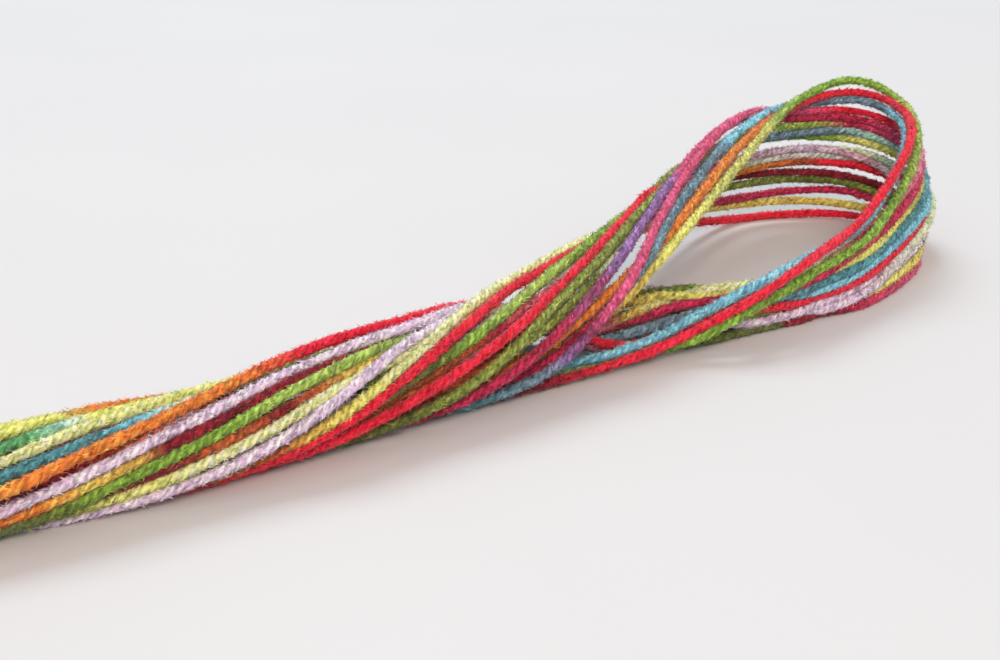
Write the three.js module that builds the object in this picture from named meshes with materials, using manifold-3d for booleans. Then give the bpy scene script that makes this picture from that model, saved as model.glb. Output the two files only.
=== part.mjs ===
// Skein of thin plied acrylic yarn, lying on a flat surface.
// Seventeen turns run round a standing loop, cross over themselves and go into a
// left-handed twisted bundle, which ends in a small plain loop.
// Millimetres, +Z up, +X along the skein towards the large loop.
import * as THREE from 'three';
import { mergeVertices } from 'three/addons/utils/BufferGeometryUtils.js';
import Module from 'manifold-3d';

// Sizes of the yarn
const YARN_DIAMETER = 2.0;
const RIB_CREST = YARN_DIAMETER / 2;
const RIB_VALLEY = 0.35;
const TURNS = 17;

// Sizes of the twisted bundle
const OUTER_STRANDS = 24;
const ROUND_WIDTH = 1.04;
const ROUND_HEIGHT = 0.96;
const FLOOR_SETTLE = 0.2;
const GROUND_LENGTH = 600;
const GROUND_WIDTH = 300;
const GROUND_DEPTH = 40;
const BUNDLE_LEFT = -134;
const BUNDLE_RIGHT = 56;
const BUNDLE_STEP = 8.5;
const LEFT_TAPER = 14;
const RIGHT_TAPER = 28;
const TAPER_TO = 0.3;
const FIRST_LOBE_ANGLE = 164;

// Middle of the whole skein in the plan that the tables below are drawn in
const MIDDLE_X = 9.6;
const MIDDLE_Y = -3.0;

// The bundle at stations along X: middle in Y, radius to the strand middles, twist
const BUNDLE = [
  { x: -132, y: -4.0, ring: 7.6, twist: 143.5 },
  { x: -100, y: -3.0, ring: 7.6, twist: 136 },
  { x: -80, y: -3.0, ring: 7.7, twist: 115 },
  { x: -60, y: -5.6, ring: 7.8, twist: 89 },
  { x: -45, y: -9.0, ring: 7.7, twist: 68 },
  { x: -30, y: -11.4, ring: 7.7, twist: 47 },
  { x: -15, y: -12.6, ring: 8.2, twist: 26 },
  { x: 0, y: -13.6, ring: 8.8, twist: 0 },
  { x: 12, y: -14.2, ring: 9.2, twist: -24 },
  { x: 24, y: -15.0, ring: 9.4, twist: -50 },
  { x: 36, y: -14.6, ring: 9.9, twist: -76 },
  { x: 54, y: -12.2, ring: 10.4, twist: -102 },
];

// The band of turns round the large loop. Each station gives four of the turns,
// counted up from the floor; fold is how far alternate turns stand off the middle.
const TURN_ROWS = [0, 8, 13, 16];
const LOOP = [
  { name: 'far crossing', fold: 0.4, turns: [[54.8, -5.1, 20.5], [56.5, -13, 22], [57.2, -21.5, 19.5], [60.3, -24, 16.5]] },
  { name: 'far rise', fold: 0.3, turns: [[101, 17, 10], [92, 4, 25], [88.6, -3, 28.5], [87.1, -13.2, 25]] },
  { name: 'far shoulder', fold: 0.1, turns: [[142.8, 26.7, 0.8], [136, 21, 19], [126, 12.5, 32.8], [113, -1, 29]] },
  { name: 'far side', fold: 0, turns: [[159.6, 18.9, 0.8], [158.4, 19.6, 19.5], [157.5, 20.2, 29], [152.7, 16.6, 34]] },
  { name: 'far turn', fold: 0, turns: [[169.8, 7.7, 0.8], [172, 11.5, 19], [174.3, 13, 28.5], [176.3, 16.7, 36]] },
  { name: 'end of the loop', fold: 0.2, turns: [[166, -10, 0.8], [173, -6, 16], [174, -2.5, 25.5], [178, 4, 34]] },
  { name: 'near turn', fold: 0.5, turns: [[153, -23.5, 0.8], [163, -18, 13.5], [160, -16, 22], [155.7, -17.4, 29.5]] },
  { name: 'near side', fold: 0.9, turns: [[122, -31.5, 0.8], [128, -29, 11.5], [126, -28, 17], [124, -26, 21]] },
  { name: 'near middle', fold: 1.0, turns: [[112.3, -30.5, 0.8], [114, -31, 10], [111, -29, 14], [107, -31, 17.5]] },
  { name: 'near fall', fold: 1.0, turns: [[104.4, -28.7, 0.8], [103, -29, 8], [100, -29, 12], [97, -33, 14]] },
  { name: 'near dip', fold: 0.7, turns: [[87.9, -26.3, 0.8], [87, -26, 6], [86, -26, 11], [80.5, -32, 9.5]] },
  { name: 'near fold', fold: 0.4, turns: [[74.6, -24.6, 0.8], [78, -12, 4], [80, -17, 9], [71, -27.5, 5.5]] },
  { name: 'near crossing', fold: 0.3, turns: [[59.7, -14, 0.8], [62, -6, 4], [62, -16, 6], [59, -25, 3]] },
];

// Where the band's two ends sink into the bundle
const SINK_STATIONS = [
  { x: 43, far: 0.99, near: 0.9 },
  { x: 30, far: 0.86, near: 0.76 },
  { x: 18, far: 0.6, near: 0.55 },
];
const FAR_ARC = { side: 'far', from: 148, to: 299 };
const NEAR_ARC = { side: 'near', from: 500, to: 322 };
const BAND_STEPS = 3;
const NORMAL_REACH = 3;

// The small plain loop at the hidden end
const END_START = -106;
const END_OPEN = -140;
const END_START_SIZE = 0.78;
const END_STRAIGHT_STEPS = 4;
const END_REACH = 16;
const END_SPREAD = 8.5;
const END_RIBS = 14;
const END_WIDTH = 4.4;
const END_HEIGHT = 7.6;
const END_ROUND_STEPS = 10;

const radians = (degrees) => degrees * Math.PI / 180;

// Straight-line reading of one column of the bundle table
function bundleAt(x, column) {
  for (let i = 1; i < BUNDLE.length; i += 1) {
    const a = BUNDLE[i - 1];
    const b = BUNDLE[i];
    if (x <= b.x || i === BUNDLE.length - 1) {
      const f = THREE.MathUtils.clamp((x - a.x) / (b.x - a.x), 0, 1);
      return a[column] + (b[column] - a[column]) * f;
    }
  }
  return 0;
}

// Point of the bundle at station x, angle in degrees and distance from its middle
function bundlePoint(x, angle, distance) {
  const ring = bundleAt(x, 'ring');
  const turn = radians(angle + bundleAt(x, 'twist'));
  const middleZ = (ring + RIB_CREST) * ROUND_HEIGHT - FLOOR_SETTLE;
  return new THREE.Vector3(
    x,
    bundleAt(x, 'y') + distance * Math.cos(turn) * ROUND_WIDTH,
    middleZ + distance * Math.sin(turn) * ROUND_HEIGHT,
  );
}

// Closed triangle mesh through a row of rings with the same number of points
function loft(rings, closedLoop) {
  const positions = [];
  const indices = [];
  const count = rings[0].length;
  for (const ring of rings) {
    for (const p of ring) positions.push(p.x, p.y, p.z);
  }
  const last = closedLoop ? rings.length : rings.length - 1;
  for (let r = 0; r < last; r += 1) {
    const next = (r + 1) % rings.length;
    for (let i = 0; i < count; i += 1) {
      const j = (i + 1) % count;
      const a = r * count + i;
      const b = r * count + j;
      const c = next * count + j;
      const d = next * count + i;
      indices.push(a, b, c, a, c, d);
    }
  }
  if (!closedLoop) {
    const ends = [{ ring: 0, flip: true }, { ring: rings.length - 1, flip: false }];
    for (const end of ends) {
      const middle = new THREE.Vector3();
      for (const p of rings[end.ring]) middle.add(p);
      middle.divideScalar(count);
      const hub = positions.length / 3;
      positions.push(middle.x, middle.y, middle.z);
      for (let i = 0; i < count; i += 1) {
        const a = end.ring * count + i;
        const b = end.ring * count + (i + 1) % count;
        if (end.flip) indices.push(hub, b, a);
        else indices.push(hub, a, b);
      }
    }
  }
  return { positions, indices };
}

// Signed volume, used to turn a mesh outward
function signedVolume(mesh) {
  let volume = 0;
  const p = mesh.positions;
  for (let t = 0; t < mesh.indices.length; t += 3) {
    const corners = [0, 1, 2].map((k) => new THREE.Vector3().fromArray(p, mesh.indices[t + k] * 3));
    volume += corners[0].dot(corners[1].cross(corners[2])) / 6;
  }
  return volume;
}

function outward(mesh) {
  if (signedVolume(mesh) > 0) return mesh;
  for (let t = 0; t < mesh.indices.length; t += 3) {
    const swap = mesh.indices[t + 1];
    mesh.indices[t + 1] = mesh.indices[t + 2];
    mesh.indices[t + 2] = swap;
  }
  return mesh;
}

// The twisted bundle: one raised rib for every outer strand
function bundleMesh() {
  const rings = [];
  const count = Math.round((BUNDLE_RIGHT - BUNDLE_LEFT) / BUNDLE_STEP);
  for (let s = 0; s <= count; s += 1) {
    const x = BUNDLE_LEFT + (BUNDLE_RIGHT - BUNDLE_LEFT) * s / count;
    const toEnd = Math.min((x - BUNDLE_LEFT) / LEFT_TAPER, (BUNDLE_RIGHT - x) / RIGHT_TAPER, 1);
    const taper = TAPER_TO + (1 - TAPER_TO) * Math.sqrt(toEnd * (2 - toEnd));
    const ring = [];
    for (let i = 0; i < OUTER_STRANDS * 2; i += 1) {
      const angle = FIRST_LOBE_ANGLE + i * 180 / OUTER_STRANDS;
      const height = i % 2 === 0 ? RIB_CREST : RIB_VALLEY;
      ring.push(bundlePoint(x, angle, (bundleAt(x, 'ring') + height) * taper));
    }
    rings.push(ring);
  }
  return outward(loft(rings, false));
}

// Where one turn passes a station of the loop
function turnAt(station, row) {
  let i = 1;
  while (i < TURN_ROWS.length - 1 && row > TURN_ROWS[i]) i += 1;
  const f = (row - TURN_ROWS[i - 1]) / (TURN_ROWS[i] - TURN_ROWS[i - 1]);
  const a = new THREE.Vector3(...station.turns[i - 1]);
  const b = new THREE.Vector3(...station.turns[i]);
  return a.lerp(b, f);
}

function sunkPoint(place, arc, row) {
  const angle = arc.from + (arc.to - arc.from) * row / (TURNS - 1);
  return bundlePoint(place.x, angle, bundleAt(place.x, 'ring') * place[arc.side]);
}

// Middle line of one turn through the large loop, both ends sunk in the bundle
function turnCurve(row) {
  const points = [];
  for (const place of [...SINK_STATIONS].reverse()) points.push(sunkPoint(place, FAR_ARC, row));
  for (const station of LOOP) points.push(turnAt(station, row));
  for (const place of SINK_STATIONS) points.push(sunkPoint(place, NEAR_ARC, row));
  return new THREE.CatmullRomCurve3(points, false, 'centripetal');
}

function foldAt(position) {
  const lead = SINK_STATIONS.length;
  const at = THREE.MathUtils.clamp(position - lead, 0, LOOP.length - 1);
  const low = Math.floor(at);
  const high = Math.min(low + 1, LOOP.length - 1);
  return LOOP[low].fold + (LOOP[high].fold - LOOP[low].fold) * (at - low);
}

// The band: a ribbed ribbon whose every rib is one turn
function bandMesh() {
  const curves = [];
  for (let row = 0; row < TURNS; row += 1) curves.push(turnCurve(row));
  const spans = LOOP.length + 2 * SINK_STATIONS.length - 1;
  const rings = [];
  for (let s = 0; s <= spans * BAND_STEPS; s += 1) {
    const t = s / (spans * BAND_STEPS);
    const middles = curves.map((curve) => curve.getPoint(t));
    const along = curves.map((curve) => curve.getTangent(t));
    const fold = foldAt(t * spans);
    const outer = [];
    const inner = [];
    const normals = middles.map((p, row) => {
      const before = middles[Math.max(row - NORMAL_REACH, 0)];
      const after = middles[Math.min(row + NORMAL_REACH, TURNS - 1)];
      const across = after.clone().sub(before);
      return new THREE.Vector3().crossVectors(along[row], across).normalize();
    });
    const crests = middles.map((p, row) => {
      const side = row % 2 === 0 ? fold : -fold;
      return p.clone().addScaledVector(normals[row], side);
    });
    for (let row = 0; row < TURNS; row += 1) {
      outer.push(crests[row].clone().addScaledVector(normals[row], RIB_CREST));
      inner.push(crests[row].clone().addScaledVector(normals[row], -RIB_CREST));
      if (row < TURNS - 1) {
        const between = crests[row].clone().lerp(crests[row + 1], 0.5);
        const normal = normals[row].clone().add(normals[row + 1]).normalize();
        outer.push(between.clone().addScaledVector(normal, RIB_VALLEY));
        inner.push(between.clone().addScaledVector(normal, -RIB_VALLEY));
      }
    }
    const low = middles[0].clone().sub(middles[1]).normalize().multiplyScalar(RIB_CREST).add(crests[0]);
    const top = TURNS - 1;
    const high = middles[top].clone().sub(middles[top - 1]).normalize().multiplyScalar(RIB_CREST).add(crests[top]);
    rings.push([low, ...outer, high, ...inner.reverse()]);
  }
  return outward(loft(rings, false));
}

// The small loop at the hidden end: one ribbed rope bent round into the bundle
function endLoopMesh() {
  const middleY = bundleAt(BUNDLE_LEFT, 'y');
  const ring = bundleAt(BUNDLE_LEFT, 'ring');
  const middleZ = (ring + RIB_CREST) * ROUND_HEIGHT - FLOOR_SETTLE;
  const path = [];
  const straight = (f, side) => ({
    x: END_START + (END_OPEN - END_START) * f,
    y: middleY + side * (END_WIDTH + (END_SPREAD - END_WIDTH) * f * f * (3 - 2 * f)),
    turn: side > 0 ? 0 : 180,
    size: END_START_SIZE + (1 - END_START_SIZE) * Math.min(1, 2 * f),
  });
  for (let i = 0; i < END_STRAIGHT_STEPS; i += 1) path.push(straight(i / END_STRAIGHT_STEPS, 1));
  for (let i = 0; i <= END_ROUND_STEPS; i += 1) {
    const angle = 180 * i / END_ROUND_STEPS;
    path.push({
      x: END_OPEN - END_REACH * Math.sin(radians(angle)),
      y: middleY + END_SPREAD * Math.cos(radians(angle)),
      turn: angle,
      size: 1,
    });
  }
  for (let i = END_STRAIGHT_STEPS - 1; i >= 0; i -= 1) path.push(straight(i / END_STRAIGHT_STEPS, -1));
  const rings = path.map((place) => {
    const section = [];
    for (let i = 0; i < END_RIBS * 2; i += 1) {
      const angle = radians(i * 180 / END_RIBS);
      const rib = i % 2 === 0 ? 0 : RIB_VALLEY - RIB_CREST;
      const side = (END_WIDTH + rib) * place.size * Math.cos(angle);
      const up = (END_HEIGHT + rib) * place.size * Math.sin(angle);
      const lean = radians(place.turn);
      section.push(new THREE.Vector3(
        place.x - side * Math.sin(lean),
        place.y + side * Math.cos(lean),
        middleZ + up * (ring + RIB_CREST) * ROUND_HEIGHT / END_HEIGHT,
      ));
    }
    return section;
  });
  return outward(loft(rings, false));
}

const wasm = await Module();
wasm.setup();

function solidFrom(mesh) {
  return new wasm.Manifold(new wasm.Mesh({
    numProp: 3,
    vertProperties: new Float32Array(mesh.positions),
    triVerts: new Uint32Array(mesh.indices),
  }));
}

// A three.js geometry as a closed solid
function solidOfGeometry(geometry) {
  const bare = geometry.clone();
  bare.deleteAttribute('normal');
  bare.deleteAttribute('uv');
  const merged = mergeVertices(bare);
  return solidFrom({
    positions: Array.from(merged.getAttribute('position').array),
    indices: Array.from(merged.index.array),
  });
}

// What lies under the surface is cut off, so that the skein rests flat
const ground = new THREE.BoxGeometry(GROUND_LENGTH, GROUND_WIDTH, GROUND_DEPTH);
ground.translate(0, 0, -GROUND_DEPTH / 2);

const whole = solidFrom(bundleMesh())
  .add(solidFrom(bandMesh()))
  .add(solidFrom(endLoopMesh()))
  .subtract(solidOfGeometry(ground));

// The outer skin alone: a hollow closed in between the turns is left solid
function outerSkin(mesh) {
  const leader = Array.from({ length: mesh.positions.length / 3 }, (_, i) => i);
  const find = (i) => {
    let at = i;
    while (leader[at] !== at) {
      leader[at] = leader[leader[at]];
      at = leader[at];
    }
    return at;
  };
  for (let t = 0; t < mesh.indices.length; t += 3) {
    leader[find(mesh.indices[t])] = find(mesh.indices[t + 1]);
    leader[find(mesh.indices[t + 1])] = find(mesh.indices[t + 2]);
  }
  const shells = new Map();
  for (let t = 0; t < mesh.indices.length; t += 3) {
    const key = find(mesh.indices[t]);
    if (!shells.has(key)) shells.set(key, []);
    shells.get(key).push(mesh.indices[t], mesh.indices[t + 1], mesh.indices[t + 2]);
  }
  const measured = [...shells.values()].map((indices) => ({
    indices,
    volume: signedVolume({ positions: mesh.positions, indices }),
  }));
  measured.sort((a, b) => b.volume - a.volume);
  return measured[0].indices;
}

const made = whole.getMesh();
const skin = outerSkin({ positions: Array.from(made.vertProperties), indices: Array.from(made.triVerts) });
const geometry = new THREE.BufferGeometry();
geometry.setAttribute('position', new THREE.BufferAttribute(new Float32Array(made.vertProperties), 3));
geometry.setIndex(new THREE.BufferAttribute(new Uint32Array(skin), 1));
geometry.translate(-MIDDLE_X, -MIDDLE_Y, 0);
geometry.computeVertexNormals();

const yarn = new THREE.MeshStandardMaterial({ color: 0xb8566a, roughness: 0.9, metalness: 0 });
yarn.name = 'yarn';
const skein = new THREE.Mesh(geometry, yarn);
skein.name = 'skein';

const group = new THREE.Group();
group.name = 'acrylic_yarn_skein';
group.add(skein);

export default group;
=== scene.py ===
"""Skein of thin plied acrylic yarn in many colours, seventeen turns twisted into a bundle.

Each turn is one closed strand of three-ply yarn. Its route follows the solid's bundle, loop
and crossing, and a short relaxation lets the strands lie against one another.
"""

import math

import bpy
import numpy as np
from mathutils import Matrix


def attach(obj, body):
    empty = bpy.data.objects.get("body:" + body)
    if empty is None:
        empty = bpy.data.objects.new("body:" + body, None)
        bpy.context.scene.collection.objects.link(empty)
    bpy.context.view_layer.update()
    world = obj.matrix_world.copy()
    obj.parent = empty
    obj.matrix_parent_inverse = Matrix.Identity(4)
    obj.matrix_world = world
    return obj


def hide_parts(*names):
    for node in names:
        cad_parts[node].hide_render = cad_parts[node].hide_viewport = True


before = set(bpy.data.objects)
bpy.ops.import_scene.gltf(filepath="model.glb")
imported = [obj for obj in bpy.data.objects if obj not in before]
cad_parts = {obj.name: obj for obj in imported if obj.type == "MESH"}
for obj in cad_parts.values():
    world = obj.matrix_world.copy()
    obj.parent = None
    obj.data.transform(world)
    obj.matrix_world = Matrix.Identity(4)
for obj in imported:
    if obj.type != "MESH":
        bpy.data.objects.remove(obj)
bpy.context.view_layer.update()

MM = 0.001
SEED = 20251

# Yarn sizes in millimetres
YARN_RADIUS = 1.0
PLY_LEAD = 5.4
RING_STEP = 0.66

# Outline of each ply round the strand, as shares of the radius
PLIES = 3
SHOULDER = 0.94
GROOVE = 0.85

# How uneven a strand is: shares of its radius and tone, radians for its plies, and waves in rings
RADIUS_WANDER = 0.06
RADIUS_WAVE = 9
SKIN_ROUGHNESS = 0.10
PLY_WANDER = 0.16
PLY_WAVE = 14
TONE_WANDER = 0.05
TONE_WAVE = 6
LEAST_WAVES = 4

# Speckle of the dyes from point to point: spread of its logarithm, and how many spreads at most
SPECKLE = 0.42
SPECKLE_LIMIT = 2

# The bundle's width and height as shares of a round one
ROUND_WIDTH = 1.04
ROUND_HEIGHT = 0.96

# How far the bundle settles on the floor and is then lifted clear of it, in millimetres
FLOOR_SETTLE = 0.2
FLOOR_CLEARANCE = 0.15

# Middle of the whole skein in the plan of the tables, which is the frame's origin
MIDDLE = np.array([9.6, -3.0, 0.0])

# The bundle at stations along X: middle in Y, radius to the strand middles, twist in degrees
BUNDLE_COLUMNS = ("x", "y", "ring", "twist")
BUNDLE = (
    (-132, -4.0, 7.6, 143.5),
    (-100, -3.0, 7.6, 136),
    (-80, -3.0, 7.7, 115),
    (-60, -5.6, 7.8, 89),
    (-45, -9.0, 7.7, 68),
    (-30, -11.4, 7.7, 47),
    (-15, -12.6, 8.2, 26),
    (0, -13.6, 8.8, 0),
    (12, -14.2, 9.2, -24),
    (24, -15.0, 9.4, -50),
    (36, -14.6, 9.9, -76),
    (54, -12.2, 10.4, -102),
)

# Rows of the band that the loop's stations give, counted up from the floor
ROW_HEIGHTS = (0, 8, 13, 16)

# The loop's stations, each with one point for every such row
LOOP = (
    ("far crossing", ((54.8, -5.1, 20.5), (56.5, -13, 22), (57.2, -21.5, 19.5), (60.3, -24, 16.5))),
    ("far rise", ((101, 17, 10), (92, 4, 25), (88.6, -3, 28.5), (87.1, -13.2, 25))),
    ("far shoulder", ((142.8, 26.7, 1), (136, 21, 19), (126, 12.5, 32.8), (113, -1, 29))),
    ("far side", ((159.6, 18.9, 1), (158.4, 19.6, 19.5), (157.5, 20.2, 29), (152.7, 16.6, 34))),
    ("far turn", ((169.8, 7.7, 1), (172, 11.5, 19), (174.3, 13, 28.5), (176.3, 16.7, 36))),
    ("end of the loop", ((166, -10, 1), (173, -6, 16), (174, -2.5, 25.5), (178, 4, 34))),
    ("near turn", ((153, -23.5, 1), (163, -18, 13.5), (160, -16, 22), (155.7, -17.4, 29.5))),
    ("near side", ((122, -31.5, 1), (128, -29, 11.5), (126, -28, 17), (124, -26, 21))),
    ("near middle", ((112.3, -30.5, 1), (114, -31, 10), (111, -29, 14), (107, -31, 17.5))),
    ("near fall", ((104.4, -28.7, 1), (103, -29, 8), (100, -29, 12), (97, -33, 14))),
    ("near dip", ((87.9, -26.3, 1), (87, -26, 6), (86, -26, 11), (80.5, -32, 9.5))),
    ("near fold", ((74.6, -24.6, 1), (78, -12, 4), (80, -17, 9), (71, -27.5, 5.5))),
    ("near crossing", ((59.7, -20, 1), (66, -6, 3), (65, -16, 7.5), (59, -25, 3))),
)

# Height of each turn in the band, counted in rows, at these of the loop's stations
HEIGHT_STATIONS = (0, 1, 2, 4, 6, 7, 8, 9, 10, 11, 12)
HEIGHTS = {
    1: (15.6, 16, 16, 15.9, 15.0, 12.0, 10.8, 9.9, 16, 16, 15.7),
    2: (12.2, 15.2, 15.1, 14.65, 16, 14.8, 15.3, 16, 15.6, 16, 16),
    3: (14.2, 14.4, 14.2, 13.95, 15.3, 13.2, 13.9, 15.0, 13.6, 15.0, 15.3),
    4: (14.1, 13.5, 13.2, 12.7, 12.6, 10.6, 10.4, 9.6, 12.5, 13.0, 13.0),
    5: (11.3, 12.0, 12.4, 11.6, 11.8, 10.0, 9.8, 9.2, 11.9, 13.2, 12.8),
    6: (9.2, 10.4, 11.4, 10.9, 11.0, 9.4, 9.0, 8.6, 11.5, 12.0, 11.8),
    7: (9.0, 9.0, 10.1, 10.1, 9.4, 7.2, 7.8, 7.6, 11.2, 14.2, 13.9),
    8: (10.2, 9.4, 10.0, 8.9, 10.4, 8.6, 9.3, 9.3, 11.8, 12.3, 12.0),
    9: (8.2, 7.8, 7.2, 7.3, 8.0, 6.1, 6.4, 6.2, 11.0, 11.6, 11.4),
    10: (7.8, 8.0, 8.2, 7.0, 4.4, 2.5, 2.1, 1.6, 3.0, 4.0, 7.0),
    11: (6.8, 6.8, 7.7, 6.9, 6.6, 1.9, 1.0, 0.6, 3.4, 6.0, 8.0),
    12: (4.1, 6.2, 6.9, 6.0, 6.6, 4.2, 4.2, 4.1, 8.0, 14.6, 14.6),
    13: (2.8, 4.4, 5.8, 4.3, 3.8, 2.8, 2.8, 3.2, 5.9, 8.0, 9.0),
    14: (4.6, 4.8, 4.9, 3.9, 3.0, 1.6, 1.5, 0.4, 0.5, 0.5, 2.0),
    15: (1.9, 2.6, 3.0, 2.9, 1.0, 0.4, 0.3, 1.6, 1.6, 2.6, 4.0),
    16: (1.0, 1.5, 2.1, 1.3, 1.9, 0.9, 0.7, 2.4, 2.4, 3.4, 5.0),
    17: (0, 0, 0, 0.2, 0, 0, -0.2, -0.2, 0.2, 1.2, 1.0),
}

# Small moves off the band: turn, station of the loop, then millimetres along X, Y and Z
NUDGES = (
    (1, 0, -2.0, 2.0, -1.6), (1, 1, -0.4, 0.0, -0.4), (1, 5, -1.2, -0.5, -0.6),
    (1, 7, 0.5, -0.8, 0.0), (1, 8, 0.0, -0.8, 0.0), (1, 10, 0.0, 0.0, -1.0),
    (1, 11, 0.0, 0.0, -1.6), (1, 12, 0.0, 2.4, -1.0),
    (2, 0, 1.0, 0.4, -2.8), (2, 2, 0.0, 0.2, 0.8), (2, 5, -2.4, 0.0, -0.6), (2, 6, -1.8, 0.5, 0.0),
    (2, 7, 0.0, 0.0, -1.0), (2, 9, 0.0, 0.0, 1.4),
    (3, 0, -0.6, 1.0, -1.7), (3, 2, 0.0, 0.4, 1.6), (3, 3, 0.0, 0.0, 0.8),
    (3, 5, -3.2, 0.5, -0.8), (3, 6, -2.0, 1.8, 0.0),
    (3, 7, 0.0, 1.6, -0.3), (3, 8, 0.0, 1.8, 0.0), (3, 9, 0.0, 1.9, 1.2),
    (4, 2, 0.0, 0.6, 1.8), (4, 7, 0.0, 1.9, -0.4), (4, 8, 0.0, 1.7, 0.0), (4, 9, 0.0, 1.5, 0.0),
    (4, 10, 0.0, 2.0, 0.0), (4, 11, 0.0, 2.2, -0.6),
    (5, 2, 0.0, 2.2, 1.0), (5, 6, -1.2, 0.0, 0.0), (5, 11, 0.0, 0.0, -1.2), (5, 12, 0.0, 0.0, -1.0),
    (6, 4, 0.0, 0.8, 0.0), (6, 6, -1.6, 0.8, 0.0), (6, 7, 0.0, 2.0, 0.0), (6, 8, 0.0, 2.2, 0.0),
    (6, 9, 0.0, 2.0, 0.0), (6, 10, 0.0, 2.6, 0.0), (6, 11, 0.0, 2.0, 0.8), (6, 12, 0.0, 4.4, 2.4),
    (7, 0, 0.0, 1.0, -1.8), (7, 1, 0.0, 1.4, -1.6), (7, 6, -0.8, 0.0, 0.0),
    (7, 10, 0.0, 1.0, -0.8), (7, 11, 0.0, 1.0, -1.8), (7, 12, 0.0, 0.6, -1.6),
    (8, 0, 0.0, 0.8, -1.6), (8, 1, 0.0, 1.6, -1.0), (8, 2, 0.0, 1.9, 0.0), (8, 3, 0.0, 1.6, 0.0),
    (8, 6, -1.2, 0.6, 0.0), (8, 9, 0.0, 1.9, 0.0), (8, 12, 0.0, 1.8, 2.2),
    (9, 0, 0.0, 0.8, -2.6), (9, 1, 0.0, 1.6, -2.0), (9, 2, 0.0, 1.9, 0.0), (9, 3, 0.0, 1.9, 0.0),
    (9, 8, 0.0, -0.5, 0.0), (9, 10, 0.0, 3.6, 0.0), (9, 11, 0.0, 3.6, 1.0), (9, 12, 0.0, 7.0, 3.4),
    (11, 0, 0.0, 0.8, -2.2), (11, 1, 0.0, 1.4, -1.8), (11, 5, 2.0, 0.0, 0.0), (11, 6, 1.6, 0.0, 0.0),
    (11, 10, 0.0, 2.2, 0.0),
    (12, 1, 0.0, 1.6, -1.6), (12, 11, 0.0, 0.0, -1.4), (12, 12, 0.0, 0.0, -2.5),
    (13, 0, 0.0, 0.8, -1.8), (13, 2, 0.0, 2.0, 0.0), (13, 7, 0.0, 2.2, 0.0), (13, 8, 0.0, 2.2, 0.0),
    (13, 9, 0.0, 1.8, 0.0),
    (14, 0, 0.0, 0.8, -2.0), (14, 7, 0.0, 2.2, 0.0), (14, 8, 0.0, 2.4, 0.0), (14, 9, 0.0, 1.0, 0.0),
    (15, 0, 0.0, 0.0, -1.0), (15, 7, 0.0, 2.4, 0.0), (15, 8, 0.0, 2.6, 0.0), (15, 9, 0.0, 2.6, 0.0),
    (15, 10, 0.0, 2.4, 0.0),
    (16, 0, 0.0, 0.8, -2.0), (16, 8, 0.0, 1.9, 0.0), (16, 9, 0.0, 3.4, 0.0), (16, 10, 0.0, 3.2, 0.0),
    (17, 7, 0.0, -0.6, 0.0), (17, 10, 0.0, 2.2, 0.0), (17, 11, 0.0, 2.6, 0.0),
)

# Far legs at these stations in X: angles in degrees, then shares of the radius at the first two
FAR_SLOT_X = (38, 8, -28, -112)
FAR_SLOTS = {
    1: (330, 318, 292, 285, 0.80, 0.70),
    2: (257, 262, 262, 262, 0.78, 0.70),
    3: (303, 292, 276, 275, 0.80, 0.72),
    4: (285, 286, 266, 262, 1.06, 1.0),
    5: (242, 258, 250, 247, 1.0, 1.0),
    6: (213, 231, 232, 232, 1.0, 1.0),
    7: (188, 186, 200, 205, 0.76, 0.65),
    8: (228, 234, 222, 225, 0.86, 0.60),
    9: (208, 208, 225, 230, 0.50, 0.50),
    10: (203, 196, 208, 217, 1.0, 1.0),
    11: (226, 230, 260, 280, 0.50, 0.30),
    12: (179, 172, 196, 202, 1.0, 0.85),
    13: (163, 165, 180, 188, 0.74, 0.60),
    14: (196, 194, 160, 150, 0.70, 0.45),
    15: (152, 161, 191, 202, 1.0, 1.0),
    16: (145, 140, 130, 120, 0.60, 0.40),
    17: (135, 147, 176, 187, 1.08, 1.0),
}

# Near legs at these stations in X, in the same way
NEAR_SLOT_X = (18, -4, -16, -40, -64)
NEAR_SLOTS = {
    1: (325, 312, 296, 292, 297, 0.86, 1.0),
    2: (306, 295, 282, 279, 283, 1.04, 1.0),
    3: (336, 326, 310, 306, 312, 0.95, 1.0),
    4: (352, 342, 325, 330, 340, 0.95, 1.08),
    5: (366, 356, 338, 350, 360, 0.95, 1.09),
    6: (398, 388, 378, 394, 392, 0.60, 0.76),
    7: (380, 370, 352, 369, 378, 0.95, 1.0),
    8: (396, 386, 368, 384, 396, 1.0, 1.0),
    9: (412, 402, 388, 405, 412, 0.90, 0.92),
    10: (460, 420, 412, 421, 427, 1.04, 1.16),
    11: (438, 430, 420, 428, 442, 0.70, 0.80),
    12: (478, 451, 432, 441, 454, 0.95, 1.0),
    13: (470, 457, 445, 453, 480, 0.86, 0.98),
    14: (488, 466, 458, 467, 490, 0.70, 1.0),
    15: (494, 478, 477, 483, 496, 0.72, 0.92),
    16: (508, 488, 487, 499, 508, 0.86, 1.0),
    17: (490, 493, 503, 518, 514, 0.92, 1.12),
}

# Stations of the two legs in the bundle
FAR_LEG_X = (-112, -100, -88, -76, -64, -52, -40, -28, -16, -4, 8, 18, 28, 38)
NEAR_LEG_X = (28, 18, 8, -4, -16, -28, -40, -52, -64, -76, -88, -100, -112)

# The small loop at the hidden end, in millimetres and in degrees round its arc
END_JOIN_X = -126
END_OPEN_X = -140
END_SPREAD = 8.5
END_REACH = 16
END_LEG_HALF_WIDTH = 3.4
END_ARC = (20, 50, 90, 130, 160)
END_TURN = 180
END_POINTS = len(END_ARC) + 2

# Spline steps between control points and between the points of a settled strand
ROUTE_STEPS = 16
STRAND_STEPS = 8

# Settling of the strands against one another: spacing, touching distance and reach in millimetres
REST_SPACING = 3.0
TOUCH = 1.88
NEIGHBOUR_REACH = 5.0

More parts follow.
